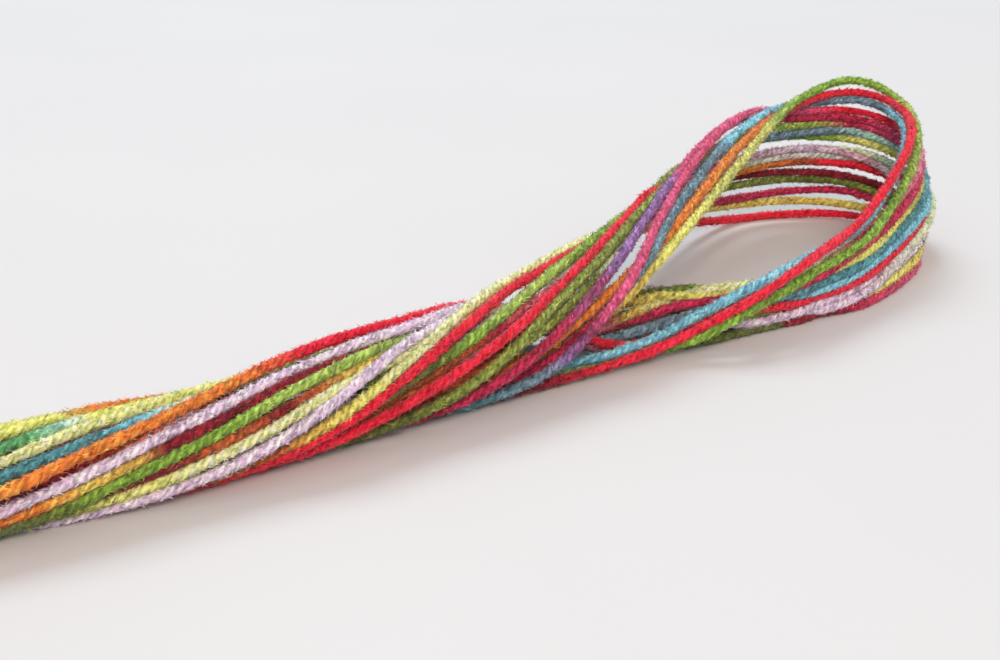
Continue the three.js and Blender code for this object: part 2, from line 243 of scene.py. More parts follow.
# How far along a strand a touch counts, and the moves of each step, as shares
TOUCH_ALONG = 0.55
PUSH = 0.42
FAIRING = 0.22
HOLD = 0.07

# Steps of the settling, and steps between two searches for neighbours
RELAX_STEPS = 90
NEIGHBOURS_EVERY = 9

# Points of one strand that are too near along it to count, and points searched at once
OWN_POINTS_APART = 5
POINTS_AT_ONCE = 512

# Small amounts that keep a division from failing
LEAST_DISTANCE = 1e-6
LEAST_LENGTH = 1e-9

# Least heights over the floor in millimetres: middles of strands as they settle, skins, loose fibres
LOWEST = 0.98
LOWEST_SKIN = 0.0
LOWEST_FIBRE = 0.05

# Dyes as they look, in display values for red, green and blue
DYES = {
    "red": (0.97, 0.16, 0.26),
    "crimson": (0.76, 0.19, 0.34),
    "maroon": (0.56, 0.13, 0.19),
    "magenta": (0.90, 0.37, 0.54),
    "pink": (0.97, 0.62, 0.72),
    "rose": (0.80, 0.44, 0.46),
    "lilac": (0.93, 0.84, 0.95),
    "mauve": (0.86, 0.68, 0.72),
    "purple": (0.58, 0.44, 0.66),
    "plum": (0.60, 0.28, 0.44),
    "slate": (0.46, 0.58, 0.64),
    "sky": (0.55, 0.84, 0.95),
    "teal": (0.34, 0.60, 0.64),
    "jade": (0.42, 0.70, 0.46),
    "mint": (0.72, 0.92, 0.84),
    "palegreen": (0.86, 0.94, 0.74),
    "leaf": (0.66, 0.78, 0.38),
    "green": (0.54, 0.70, 0.27),
    "darkgreen": (0.42, 0.48, 0.24),
    "lime": (0.84, 0.86, 0.48),
    "olive": (0.55, 0.61, 0.28),
    "darkolive": (0.42, 0.47, 0.22),
    "yellow": (0.93, 0.95, 0.50),
    "paleyellow": (0.94, 0.98, 0.68),
    "straw": (0.94, 0.86, 0.46),
    "ochre": (0.88, 0.74, 0.36),
    "orange": (0.95, 0.55, 0.23),
    "rust": (0.74, 0.38, 0.20),
    "white": (0.97, 0.96, 0.94),
}

# A place is X on the far leg, this plus the station in the loop, and NEAR minus X on the near leg
LOOP_START = 100
NEAR = 250

# Places where the dyes change along each turn. Numbers in between lie between a leg and the loop.
DYE_PLACES = {
    1: ((-112, "crimson"), (-60, "red"), (0, "orange"), (38, "ochre"), (100, "ochre"), (100.6, "yellow"),
        (101, "yellow"), (101.4, "lime"), (102.4, "lime"), (102.6, "leaf"), (103, "green"), (104, "green"),
        (105, "leaf"), (106.2, "leaf"), (106.6, "green"), (112, "green"), (NEAR, "teal"),
        (NEAR + 60, "sky"), (NEAR + 112, "purple")),
    2: ((-112, "sky"), (-60, "purple"), (-10, "crimson"), (20, "rust"), (38, "orange"), (102.3, "orange"),
        (102.9, "red"), (112, "red"), (125, "red"), (186, "maroon"), (222, "maroon"), (NEAR - 10, "red"),
        (NEAR + 40, "orange"), (NEAR + 112, "lime")),
    3: ((-112, "red"), (-60, "crimson"), (72, "crimson"), (100.2, "slate"), (101.6, "slate"),
        (101.8, "sky"), (102.3, "sky"), (103, "slate"), (104.7, "slate"), (105, "sky"), (112, "sky"),
        (NEAR, "teal"), (NEAR + 60, "green")),
    4: ((-112, "green"), (-20, "teal"), (20, "teal"), (30, "slate"), (34, "slate"), (46, "purple"),
        (65, "plum"), (82, "magenta"), (103, "magenta"), (103.6, "red"), (104.6, "red"), (105.5, "pink"),
        (107, "crimson"), (109, "paleyellow"), (111.2, "paleyellow"), (112, "ochre"), (118, "ochre"),
        (131, "rose"), (NEAR, "maroon"), (NEAR + 40, "orange"), (NEAR + 58, "yellow"),
        (NEAR + 112, "lime")),
    5: ((-112, "teal"), (-60, "purple"), (0, "maroon"), (20, "crimson"), (41, "crimson"), (63, "plum"),
        (90, "plum"), (100.2, "purple"), (101, "purple"), (101.2, "magenta"), (101.6, "magenta"),
        (102.8, "crimson"), (104, "crimson"), (104.8, "magenta"), (106.6, "crimson"), (112, "crimson"),
        (125, "crimson"), (NEAR - 30, "red"), (NEAR + 25, "red"), (NEAR + 42, "orange"),
        (NEAR + 47, "orange"), (NEAR + 54, "yellow"), (NEAR + 112, "yellow")),
    6: ((-112, "orange"), (-60, "ochre"), (-20, "darkolive"), (6, "darkolive"), (18, "olive"),
        (101.2, "olive"), (102.6, "leaf"), (103.2, "leaf"), (103.8, "crimson"), (104.9, "magenta"),
        (107, "crimson"), (110, "green"), (111, "darkgreen"), (112, "darkgreen"), (NEAR, "maroon"),
        (NEAR + 70, "crimson"), (NEAR + 112, "crimson")),
    7: ((-112, "yellow"), (-40, "orange"), (8, "rust"), (20, "rust"), (28, "crimson"), (36, "rose"),
        (55, "rose"), (100, "crimson"), (101, "purple"), (101.5, "slate"), (103.5, "slate"),
        (104.4, "mint"), (105, "sky"), (106.3, "teal"), (108.5, "teal"), (110, "slate"), (112, "slate"),
        (NEAR + 20, "sky"), (NEAR + 38, "yellow"), (NEAR + 48, "yellow"), (NEAR + 53, "mint"),
        (NEAR + 59, "jade"), (NEAR + 70, "jade"), (NEAR + 112, "lime")),
    8: ((-112, "purple"), (-40, "crimson"), (0, "rust"), (22, "rust"), (34, "olive"), (92, "olive"),
        (100, "palegreen"), (100.8, "olive"), (101.4, "olive"), (102.8, "green"), (103.4, "green"),
        (104, "lime"), (105, "lime"), (107, "yellow"), (111, "yellow"), (112, "ochre"),
        (NEAR + 20, "yellow"), (NEAR + 63, "paleyellow"), (NEAR + 112, "lime")),
    9: ((-112, "lime"), (-30, "orange"), (30, "rust"), (50, "red"), (60, "red"), (100, "maroon"),
        (101, "olive"), (102, "palegreen"), (104, "palegreen"), (105, "mint"), (106, "sky"), (108.5, "sky"),
        (110, "teal"), (111, "lilac"), (112, "lilac"), (NEAR, "green"), (NEAR + 34, "palegreen"),
        (NEAR + 40, "sky"), (NEAR + 47, "teal"), (NEAR + 112, "teal")),
    10: ((-112, "magenta"), (-60, "crimson"), (-5, "red"), (101, "red"), (101.6, "magenta"), (102, "mauve"),
         (103, "lilac"), (104, "mauve"), (105, "lilac"), (112, "lilac"), (NEAR - 24, "red"),
         (NEAR + 10, "red"), (NEAR + 24, "orange"), (NEAR + 63, "orange"), (NEAR + 112, "yellow")),
    11: ((-112, "slate"), (-30, "maroon"), (25, "rust"), (36, "olive"), (42, "white"), (101, "white"),
         (102, "palegreen"), (103, "white"), (104, "mint"), (105, "palegreen"), (106.3, "palegreen"),
         (107, "lilac"), (111, "lilac"), (NEAR - 30, "crimson"), (NEAR, "maroon"), (NEAR + 33, "mauve"),
         (NEAR + 41, "rust"), (NEAR + 55, "maroon"), (NEAR + 112, "crimson")),
    12: ((-112, "sky"), (-40, "teal"), (-6, "darkolive"), (12, "darkolive"), (19, "green"), (33, "leaf"),
         (67, "leaf"), (100.3, "green"), (100.6, "green"), (101, "ochre"), (101.3, "orange"),
         (102.3, "orange"), (103, "rust"), (103.4, "red"), (112, "red"), (160, "red"), (NEAR - 26, "lilac"),
         (NEAR + 63, "lilac"), (NEAR + 112, "pink")),
    13: ((-112, "magenta"), (0, "lilac"), (38, "white"), (100, "lilac"), (101, "crimson"), (102, "maroon"),
         (104.4, "maroon"), (105, "olive"), (107, "darkolive"), (110, "olive"), (NEAR - 16, "maroon"),
         (NEAR + 40, "maroon"), (NEAR + 46, "ochre"), (NEAR + 54, "ochre"), (NEAR + 60, "orange"),
         (NEAR + 112, "red")),
    14: ((-112, "red"), (0, "pink"), (38, "lilac"), (100, "white"), (101, "green"), (102, "olive"),
         (103, "darkolive"), (104, "olive"), (105, "green"), (107, "darkolive"), (110, "darkolive"),
         (NEAR - 30, "green"), (NEAR - 6, "leaf"), (NEAR + 21, "leaf"), (NEAR + 28, "green"),
         (NEAR + 48, "green"), (NEAR + 60, "darkolive"), (NEAR + 112, "teal")),
    15: ((-112, "orange"), (-60, "red"), (100, "red"), (101.2, "crimson"), (104, "crimson"),
         (105, "magenta"), (107, "crimson"), (110, "crimson"), (112, "purple"), (NEAR - 25, "ochre"),
         (NEAR + 5, "ochre"), (NEAR + 12, "rust"), (NEAR + 19, "maroon"), (NEAR + 26, "rust"),
         (NEAR + 32, "rust"), (NEAR + 39, "maroon"), (NEAR + 112, "maroon")),
    16: ((-112, "teal"), (0, "green"), (38, "olive"), (101, "ochre"), (101.8, "straw"), (104, "straw"),
         (110, "yellow"), (112, "lime"), (NEAR - 10, "paleyellow"), (NEAR + 37, "paleyellow"),
         (NEAR + 43, "yellow"), (NEAR + 50, "lime"), (NEAR + 56, "olive"), (NEAR + 112, "mint")),
    17: ((-112, "green"), (-60, "olive"), (-21, "rust"), (-15, "ochre"), (-2, "yellow"), (4, "paleyellow"),
         (100.3, "paleyellow"), (101.1, "orange"), (101.6, "red"), (104, "red"), (105.5, "pink"),
         (106.2, "magenta"), (107, "crimson"), (107.8, "maroon"), (109.3, "maroon"), (110, "darkolive"),
         (112, "maroon"), (NEAR - 24, "lilac"), (NEAR + 63, "lilac"), (NEAR + 112, "white")),
}

# The nap, short fibres along the skin: sizes in millimetres, and shares for lift, scatter and tilt
NAP_PER_MM = 34
NAP_LENGTH = (0.45, 1.25)
NAP_WIDTH = 0.22
NAP_LIFT = (0.05, 1.10)
NAP_SCATTER = 0.45
NAP_TILT = 0.35
NAP_PIECES = 3

# Stray fibres off the yarn: sizes in millimetres, and shares for lift, sway, bend and taper
STRAYS_PER_MM = 3.2
STRAY_LENGTH = (0.9, 2.6)
STRAY_WIDTH = 0.055
STRAY_LIFT = (0.15, 0.9)
STRAY_SWAY = 0.6
STRAY_BEND = 0.45
STRAY_TAPER = 0.8

# Tones of single fibres as shares of the dye, and how far at most a light one goes to white as a painted
# glint
FIBRE_TONE = (0.5, 1.5)
FIBRE_PAINTED_GLINT = 0.12

# Roots of the fibres: depth under the skin in millimetres, and the painted shade of one rooted in a groove,
# as a share of its dye
ROOT_DEPTH = 0.08
GROOVE_ROOT_PAINTED_SHADE = 0.86

# The yarn's shader, with the share of light let through and the height of its hairs in millimetres
THROUGH_LIGHT = 0.28
YARN_ROUGHNESS = 0.85
YARN_SPECULAR = 0.25
YARN_SHEEN = 0.35
YARN_SHEEN_ROUGHNESS = 0.45
MOTTLE_SCALE = 1400
MOTTLE_DETAIL = 3
MOTTLE_NOISE = (0.3, 0.7)
MOTTLE_TONE = (0.82, 1.20)
# Painted shade in the ply grooves and painted light on their crests, as shares of the dye from groove to
# crest
GROOVE_PAINTED_SHADE = (0.84, 1.12)
HAIR_SCALE = 4200
HAIR_DETAIL = 2
HAIR_BUMP = 0.9
HAIR_HEIGHT = 0.12

# The plain floor, in metres and linear colours
FLOOR_SIZE = 12
FLOOR_ROUGHNESS = 0.6
FLOOR_SPECULAR = 0.2
FLOOR_GRAIN_SCALE = 9
FLOOR_TONES = ((0.60, 0.592, 0.592, 1), (0.63, 0.625, 0.625, 1))

# Even light of the room
ROOM_COLOUR = (0.93, 0.97, 1.0, 1)
ROOM_STRENGTH = 0.66

# Where the lamps look, in metres
LAMP_TARGET = (0.05, 0, 0)

# Each lamp's name, place and size in metres, power in watts and colour
LAMPS = (
    ("window", (1.1, 2.1, 3.0), 1.6, 84, (0.80, 0.92, 1.0)),
    ("front", (-1.25, -1.95, 1.95), 1.1, 62, (1.0, 0.77, 0.66)),
)

# The camera's place in the tables' millimetres, and how far it looks down and turns in degrees
CAMERA_PLACE = np.array([-121.0, -210.0, 120.0])
CAMERA_PITCH = 23.4
CAMERA_TURN = 38.0

# Its lens and sensor in millimetres, and the nearest distance that it sees in metres
CAMERA_LENS = 50.0
CAMERA_SENSOR = 36.0
CAMERA_NEAREST = 0.01


def bundle_at(x):
    """Middle in Y, ring radius and twist in degrees of the bundle at station x."""
    table = np.array(BUNDLE, float)
    stations = table[:, BUNDLE_COLUMNS.index("x")]
    return [np.interp(x, stations, table[:, BUNDLE_COLUMNS.index(name)]) for name in ("y", "ring", "twist")]


def bundle_point(x, slot, share):
    """Point of the bundle at a station in X, for an angle and a share of the radius."""
    y, ring, twist = bundle_at(x)
    turn = math.radians(slot + twist)
    middle_z = (ring + YARN_RADIUS) * ROUND_HEIGHT - FLOOR_SETTLE + FLOOR_CLEARANCE
    return np.array([
        x,
        y + ring * share * math.cos(turn) * ROUND_WIDTH,
        middle_z + ring * share * math.sin(turn) * ROUND_HEIGHT,
    ])


def band_point(station, row):
    """Point of the band at one of the loop's stations, row counted up from the floor."""
    _, rows = LOOP[station]
    return np.array([np.interp(row, ROW_HEIGHTS, column) for column in zip(*rows)])


def leg_place(row, stations, x):
    """Angle in degrees and share of the radius of one leg at a station in X."""
    count = len(stations)
    order = np.argsort(stations)
    at = np.array(stations, float)[order]
    slot = np.interp(x, at, np.array(row[:count], float)[order])
    share = np.interp(x, (stations[1], stations[0]), (row[count + 1], row[count]))
    return slot, share


def end_points(far, near):
    """Points of one turn round the small loop at the hidden end, near leg to far leg."""
    y, ring, twist = bundle_at(END_JOIN_X)
    points = []
    sides = []
    for (slot, share), sign in ((near, -1), (far, 1)):
        turn = math.radians(slot + twist)
        inside = sign * math.cos(turn) * share
        lateral = END_SPREAD + END_LEG_HALF_WIDTH * (2 * np.clip(inside, 0, 1) - 1)
        height = (ring + YARN_RADIUS) * ROUND_HEIGHT + ring * share * math.sin(turn) * ROUND_HEIGHT
        sides.append((lateral, height))
    near_lateral, near_height = sides[0]
    far_lateral, far_height = sides[1]
    points.append(np.array([END_OPEN_X, y - near_lateral, near_height]))
    for angle in END_ARC:
        share = angle / END_TURN
        lateral = near_lateral + (far_lateral - near_lateral) * share
        reach = END_REACH + lateral - END_SPREAD
        points.append(np.array([
            END_OPEN_X - reach * math.sin(math.radians(angle)),
            y - lateral * math.cos(math.radians(angle)),
            near_height + (far_height - near_height) * share,
        ]))
    points.append(np.array([END_OPEN_X, y + far_lateral, far_height]))
    return points


def control_points(turn):
    """Control points of one closed turn, with a place number for each."""
    points = []
    places = []
    for x in FAR_LEG_X:
        points.append(bundle_point(x, *leg_place(FAR_SLOTS[turn], FAR_SLOT_X, x)))
        places.append(x)
    for station in range(len(LOOP)):
        height = np.interp(station, HEIGHT_STATIONS, HEIGHTS[turn])
        moved = [move[2:] for move in NUDGES if move[:2] == (turn, station)]
        points.append(band_point(station, height) + (np.array(moved[0]) if moved else 0))
        places.append(LOOP_START + station)
    for x in NEAR_LEG_X:
        points.append(bundle_point(x, *leg_place(NEAR_SLOTS[turn], NEAR_SLOT_X, x)))
        places.append(NEAR - x)
    far_end = leg_place(FAR_SLOTS[turn], FAR_SLOT_X, END_JOIN_X)
    near_end = leg_place(NEAR_SLOTS[turn], NEAR_SLOT_X, END_JOIN_X)
    for i, point in enumerate(end_points(far_end, near_end)):
        points.append(point)
        places.append(NEAR - FAR_LEG_X[0] + 1 + i)
    return np.array(points), np.array(places, float)


def closed_spline(points, values, steps):
    """Centripetal Catmull-Rom spline through closed points, with values carried along."""
    count = len(points)
    gaps = np.sqrt(np.linalg.norm(np.roll(points, -1, 0) - points, axis=1))[:, None]
    before = np.roll(points, 1, 0)
    after = np.roll(points, -1, 0)
    gap_before = np.roll(gaps, 1, 0)
    over_both = (after - before) / (gap_before + gaps)
    slope = (points - before) / gap_before - over_both + (after - points) / gaps
    out = []
    carried = []
    for i in range(count):
        j = (i + 1) % count
        start = slope[i] * gaps[i]
        end = slope[j] * gaps[i]
        value_end = values[j] if j else values[i] + 1
        for k in range(steps):
            t = k / steps
            out.append(
                (2 * t**3 - 3 * t**2 + 1) * points[i]
                + (t**3 - 2 * t**2 + t) * start
                + (-2 * t**3 + 3 * t**2) * points[j]
                + (t**3 - t**2) * end
            )
            carried.append(values[i] + (value_end - values[i]) * t)
    return np.array(out), np.array(carried)


def resample(points, values, spacing):
    """Even spacing along a closed line."""
    loop = np.vstack([points, points[:1]])
    lengths = np.linalg.norm(np.diff(loop, axis=0), axis=1)
    along = np.concatenate([[0], np.cumsum(lengths)])
    count = int(round(along[-1] / spacing))
    at = np.linspace(0, along[-1], count, endpoint=False)
    line = np.stack([np.interp(at, along, loop[:, i]) for i in range(3)], 1)
    closed_values = np.append(values, values[-1])
    return line, np.interp(at, along, closed_values)


def neighbour_pairs(points, owner):
    """Pairs of points near one another, on two strands or well apart on one."""
    found_a = []
    found_b = []
    for low in range(0, len(points), POINTS_AT_ONCE):
        chunk = points[low:low + POINTS_AT_ONCE]
        within = np.abs(chunk[:, None, 0] - points[None, :, 0]) < NEIGHBOUR_REACH
        a, b = np.nonzero(within)
        a = a + low
        near = np.linalg.norm(points[a] - points[b], axis=1) < NEIGHBOUR_REACH
        same = (owner[a] == owner[b]) & (np.abs(a - b) < OWN_POINTS_APART)
        keep = near & ~same
        found_a.append(a[keep])
        found_b.append(b[keep])
    return np.concatenate(found_a), np.concatenate(found_b)


def relax(lines):
    """Moves the strands apart where they overlap, keeping each one fair and near its route."""
    counts = [len(line) for line in lines]
    starts = np.concatenate([[0], np.cumsum(counts)])
    points = np.vstack(lines)
    route = points.copy()
    owner = np.repeat(np.arange(len(lines)), counts)
    index = np.arange(len(points))
    previous = index - 1
    following = index + 1
    for k in range(len(lines)):
        previous[starts[k]] = starts[k + 1] - 1
        following[starts[k + 1] - 1] = starts[k]
    for step in range(RELAX_STEPS):
        if step % NEIGHBOURS_EVERY == 0:
            pair_a, pair_b = neighbour_pairs(points, owner)
        tangent = points[following] - points[previous]
        tangent /= np.linalg.norm(tangent, axis=1)[:, None]
        offset = points[pair_a] - points[pair_b]
        along = np.sum(offset * tangent[pair_b], axis=1)
        across = offset - along[:, None] * tangent[pair_b]
        distance = np.linalg.norm(across, axis=1) + LEAST_DISTANCE
        close = (np.abs(along) < REST_SPACING * TOUCH_ALONG) & (distance < TOUCH)
        shift = across[close] / distance[close][:, None] * ((TOUCH - distance[close]) * PUSH)[:, None]
        moved = np.zeros_like(points)
        hits = np.zeros(len(points))
        np.add.at(moved, pair_a[close], shift)
        np.add.at(hits, pair_a[close], 1)
        points = points + moved / np.maximum(hits, 1)[:, None] ** 0.5
        middle = (points[previous] + points[following]) / 2
        points = points + FAIRING * (middle - points) + HOLD * (route - points)
        points[:, 2] = np.maximum(points[:, 2], LOWEST)
    return [points[starts[k]:starts[k + 1]] for k in range(len(lines))]


def frames_along(line):
    """Tangents and a pair of normals that don't spin about a closed line."""
    tangent = np.roll(line, -1, 0) - np.roll(line, 1, 0)
    tangent /= np.linalg.norm(tangent, axis=1)[:, None]
    normal = np.zeros_like(line)
    first = np.cross(tangent[0], [0.0, 0.0, 1.0])
    normal[0] = first / np.linalg.norm(first)
    for i in range(1, len(line)):
        carried = normal[i - 1] - np.dot(normal[i - 1], tangent[i]) * tangent[i]
        normal[i] = carried / np.linalg.norm(carried)
    return tangent, normal, np.cross(tangent, normal)


def smooth_noise(rng, count, wave):
    """Closed random curve of unit spread, with a new value every wave samples."""
    knots = max(LEAST_WAVES, int(count / wave))
    values = rng.normal(size=knots)
    at = np.arange(count) / count * knots
    low = np.floor(at).astype(int)
    f = at - low
    f = f * f * (3 - 2 * f)
    return values[low % knots] * (1 - f) + values[(low + 1) % knots] * f


def to_linear(display):
    """Display values as linear ones, by the usual display curve."""
    display = np.asarray(display, float)
    return np.where(display <= 0.04045, display / 12.92, ((display + 0.055) / 1.055) ** 2.4)


def dye_along(turn, values):
    """Linear colour at each place along a turn."""
    table = DYE_PLACES[turn]
    places = np.array([place for place, _ in table], float)
    colours = np.array([to_linear(DYES[name]) for _, name in table])
    # The turn closes one place after the end loop's points, where its first dye comes back
    closing = NEAR - FAR_LEG_X[0] + END_POINTS + 1
    places = np.append(places, closing)
    colours = np.vstack([colours, colours[0]])
    return np.stack([np.interp(values, places, colours[:, i]) for i in range(3)], 1)


def new_object(name, vertices, faces, colours, depth=None):
    """Object from arrays, with its colours and, if given, how far each point stands out."""
    mesh = bpy.data.meshes.new(name)
    mesh.vertices.add(len(vertices))
    mesh.vertices.foreach_set("co", (vertices * MM).astype(np.float32).ravel())
    size = faces.shape[1]
    mesh.loops.add(faces.size)
    mesh.loops.foreach_set("vertex_index", faces.astype(np.int32).ravel())
    mesh.polygons.add(len(faces))
    mesh.polygons.foreach_set("loop_start", np.arange(0, faces.size, size, dtype=np.int32))
    mesh.polygons.foreach_set("use_smooth", np.ones(len(faces), bool))
    dye = mesh.color_attributes.new("dye", "FLOAT_COLOR", "POINT")
    rgba = np.ones((len(vertices), 4), np.float32)
    rgba[:, :3] = colours
    if depth is not None:
        rgba[:, 3] = depth
    dye.data.foreach_set("color", rgba.ravel())
    mesh.update(calc_edges=True)
    mesh.validate()
    thing = bpy.data.objects.new(name, mesh)
    bpy.context.scene.collection.objects.link(thing)
    return thing


def strand_mesh(turn, line, values, rng):
    """Closed three-ply strand, its rings turning with the plies."""
    count = len(line)
    tangent, normal, side = frames_along(line)
    profile = np.array([1.0, SHOULDER, GROOVE, SHOULDER] * PLIES)
    around = len(profile)
    steps = np.linalg.norm(np.roll(line, -1, 0) - line, axis=1)
    arc = np.concatenate([[0], np.cumsum(steps)[:-1]])
    length = steps.sum()
    # The frame comes back turned, so the twist takes up the rest of a whole number of plies
    last = normal[-1] - np.dot(normal[-1], tangent[0]) * tangent[0]
    gap = math.atan2(np.dot(last, side[0]), np.dot(last, normal[0]))
    leads = round(length / PLY_LEAD * PLIES) / PLIES
    total = -2 * math.pi * leads - gap
    wander = smooth_noise(rng, count, PLY_WAVE) * PLY_WANDER
    angle = total * arc / length + wander
    thickness = YARN_RADIUS * (1 + RADIUS_WANDER * smooth_noise(rng, count, RADIUS_WAVE))
    theta = angle[:, None] + np.arange(around)[None, :] * 2 * math.pi / around
    radius = thickness[:, None] * profile[None, :]
    radius = radius * (1 + SKIN_ROUGHNESS * rng.normal(size=radius.shape))
    rightward = np.cos(theta)[..., None]
    upward = np.sin(theta)[..., None]
    ring = (
        line[:, None, :]
        + radius[..., None] * rightward * normal[:, None, :]
        + radius[..., None] * upward * side[:, None, :]
    )
    vertices = ring.reshape(-1, 3)
    i = np.arange(count)[:, None]
    j = np.arange(around)[None, :]
    next_i = (i + 1) % count
    next_j = (j + 1) % around
    # The last ring meets the first one after a whole number of ply spacings
    seam = int(round((total + gap) / (2 * math.pi) * around)) % around
    shift = np.where(i == count - 1, seam, 0)
    faces = np.stack([
        i * around + j,
        i * around + next_j,
        next_i * around + (next_j + shift) % around,
        next_i * around + (j + shift) % around,
    ], -1).reshape(-1, 4)
    dye = dye_along(turn, values)
    shade = 1 + TONE_WANDER * smooth_noise(rng, count, TONE_WAVE)
    colours = np.repeat(dye * shade[:, None], around, axis=0)
    spread = rng.normal(size=(len(colours), 1)).clip(-SPECKLE_LIMIT, SPECKLE_LIMIT)
    speckle = np.exp(SPECKLE * spread)
    colours = np.clip(colours * speckle, 0, 1)
    # How far each point stands out from its groove; the shader paints shade in the grooves and light on the
    # crests from it
    depth = np.tile((profile - GROOVE) / (1 - GROOVE), count)
    outs = (rightward * normal[:, None, :] + upward * side[:, None, :]).reshape(-1, 3)
    alongs = np.repeat(tangent, around, axis=0)
    return vertices, faces, colours, depth, outs, alongs


def unit(vectors):
    """Vectors brought to unit length, row by row."""
    return vectors / (np.linalg.norm(vectors, axis=1)[:, None] + LEAST_LENGTH)


def fibre_colours(dyes_with_painted_shade, rng):
    """One tone for each fibre, darker than its dye, or lighter and a little whiter with a painted glint."""
    count = len(dyes_with_painted_shade)
    tone = rng.uniform(*FIBRE_TONE, size=(count, 1))
    # Lighter fibres go partly to white: a painted glint of shining fibres
    white = FIBRE_PAINTED_GLINT * rng.random((count, 1)) ** 2 * (tone > 1)
    return np.clip(dyes_with_painted_shade * tone * (1 - white) + white, 0, 1)


def nap_mesh(roots, outs, alongs, dyes_with_painted_shade, rng):
    """Short fibres, each one a narrow triangle lying along the skin with its tip lifted."""
    count = len(roots)
    across = np.cross(alongs, outs)
    way = np.where(rng.random((count, 1)) < 0.5, -1.0, 1.0)
    lift = rng.uniform(*NAP_LIFT, size=(count, 1))
    heading = unit(alongs * way + outs * lift + across * rng.normal(scale=NAP_SCATTER, size=(count, 1)))
    facing = outs + rng.normal(scale=NAP_TILT, size=(count, 3))
    broad = unit(np.cross(heading, facing)) * (NAP_WIDTH / 2)
    tips = roots + heading * rng.uniform(*NAP_LENGTH, size=(count, 1))
    vertices = np.stack([roots - broad, roots + broad, tips], 1).reshape(-1, 3)
    faces = np.arange(count * 3).reshape(-1, 3)
    colours = np.repeat(fibre_colours(dyes_with_painted_shade, rng), 3, axis=0)
    return vertices, faces, colours


def stray_mesh(roots, outs, alongs, dyes_with_painted_shade, rng):
    """Longer curved fibres that stand off the yarn, each one a tapering ribbon."""
    count = len(roots)
    across = np.cross(alongs, outs)
    way = np.where(rng.random((count, 1)) < 0.5, -1.0, 1.0)
    lift = rng.uniform(*STRAY_LIFT, size=(count, 1))
    sway = rng.normal(scale=STRAY_SWAY, size=(count, 1))
    heading = unit(alongs * way + outs * lift + across * sway)
    half_length = rng.uniform(*STRAY_LENGTH, size=(count, 1)) / 2
    broad = unit(np.cross(heading, rng.normal(size=(count, 3)))) * (STRAY_WIDTH / 2)
    bend = rng.normal(scale=STRAY_BEND, size=(count, 3))
    middles = roots + heading * half_length
    tips = middles + unit(heading + bend) * half_length
    narrow = broad * STRAY_TAPER
    corners = [roots - broad, roots + broad, middles - narrow, middles + narrow, tips]
    vertices = np.stack(corners, 1).reshape(-1, 3)
    base = (np.arange(count) * len(corners))[:, None, None]
    faces = (base + np.array([[0, 1, 3], [0, 3, 2], [2, 3, 4]])).reshape(-1, 3)
    colours = np.repeat(fibre_colours(dyes_with_painted_shade, rng), len(corners), axis=0)
    return vertices, faces, colours


def toned(tree, colour, amount, span, tones):
    """Colour scaled by an amount that is carried from its span to a range of tones."""
    tone = tree.nodes.new("ShaderNodeMapRange")
    tone.inputs["From Min"].default_value, tone.inputs["From Max"].default_value = span
    tone.inputs["To Min"].default_value, tone.inputs["To Max"].default_value = tones
    tree.links.new(amount, tone.inputs["Value"])
    scaled = tree.nodes.new("ShaderNodeVectorMath")
    scaled.operation = "SCALE"
    tree.links.new(colour, scaled.inputs[0])
    tree.links.new(tone.outputs["Result"], scaled.inputs["Scale"])
    return scaled.outputs["Vector"]


def noise(tree, place, scale, detail):
    """Amount from a procedural noise in the object's own space."""
    texture = tree.nodes.new("ShaderNodeTexNoise")
    texture.inputs["Scale"].default_value = scale
    texture.inputs["Detail"].default_value = detail
    tree.links.new(place.outputs["Object"], texture.inputs["Vector"])
    return texture.outputs["Fac"]


def yarn_material(name, is_fibre):
    """Matte, slightly hairy yarn in its dyes, with painted shade in the ply grooves and painted light on
    their crests where it isn't a loose fibre.
    """
    material = bpy.data.materials.new(name)
    material.use_nodes = True
    tree = material.node_tree
    nodes = tree.nodes
    links = tree.links
    shader = nodes["Principled BSDF"]
    shader.inputs["Roughness"].default_value = YARN_ROUGHNESS
    shader.inputs["Specular IOR Level"].default_value = YARN_SPECULAR
    shader.inputs["Sheen Weight"].default_value = YARN_SHEEN
    shader.inputs["Sheen Roughness"].default_value = YARN_SHEEN_ROUGHNESS
    dye = nodes.new("ShaderNodeVertexColor")
    dye.layer_name = "dye"
    place = nodes.new("ShaderNodeTexCoord")
    mottle = noise(tree, place, MOTTLE_SCALE, MOTTLE_DETAIL)
    colour = toned(tree, dye.outputs["Color"], mottle, MOTTLE_NOISE, MOTTLE_TONE)
    if not is_fibre:
        # Painted shade in the ply grooves and painted light on their crests, set by how far each point
        # stands out
        colour = toned(tree, colour, dye.outputs["Alpha"], (0, 1), GROOVE_PAINTED_SHADE)
        bump = nodes.new("ShaderNodeBump")
        bump.inputs["Strength"].default_value = HAIR_BUMP
        bump.inputs["Distance"].default_value = HAIR_HEIGHT * MM
        links.new(noise(tree, place, HAIR_SCALE, HAIR_DETAIL), bump.inputs["Height"])
        links.new(bump.outputs["Normal"], shader.inputs["Normal"])
    links.new(colour, shader.inputs["Base Color"])
    glow = nodes.new("ShaderNodeBsdfTranslucent")
    links.new(colour, glow.inputs["Color"])
    blend = nodes.new("ShaderNodeMixShader")
    blend.inputs["Fac"].default_value = THROUGH_LIGHT
    links.new(shader.outputs["BSDF"], blend.inputs[1])
    links.new(glow.outputs["BSDF"], blend.inputs[2])
    links.new(blend.outputs["Shader"], nodes["Material Output"].inputs["Surface"])
    return material


def lay_strands():
    """Middle lines of all turns, lying against one another, with their place numbers."""
    lines = []
    places = []
    for turn in HEIGHTS:
        points, values = control_points(turn)
        dense, carried = closed_spline(points, values, ROUTE_STEPS)
        line, at = resample(dense, carried, REST_SPACING)
        lines.append(line)
        places.append(at)
    return relax(lines), places


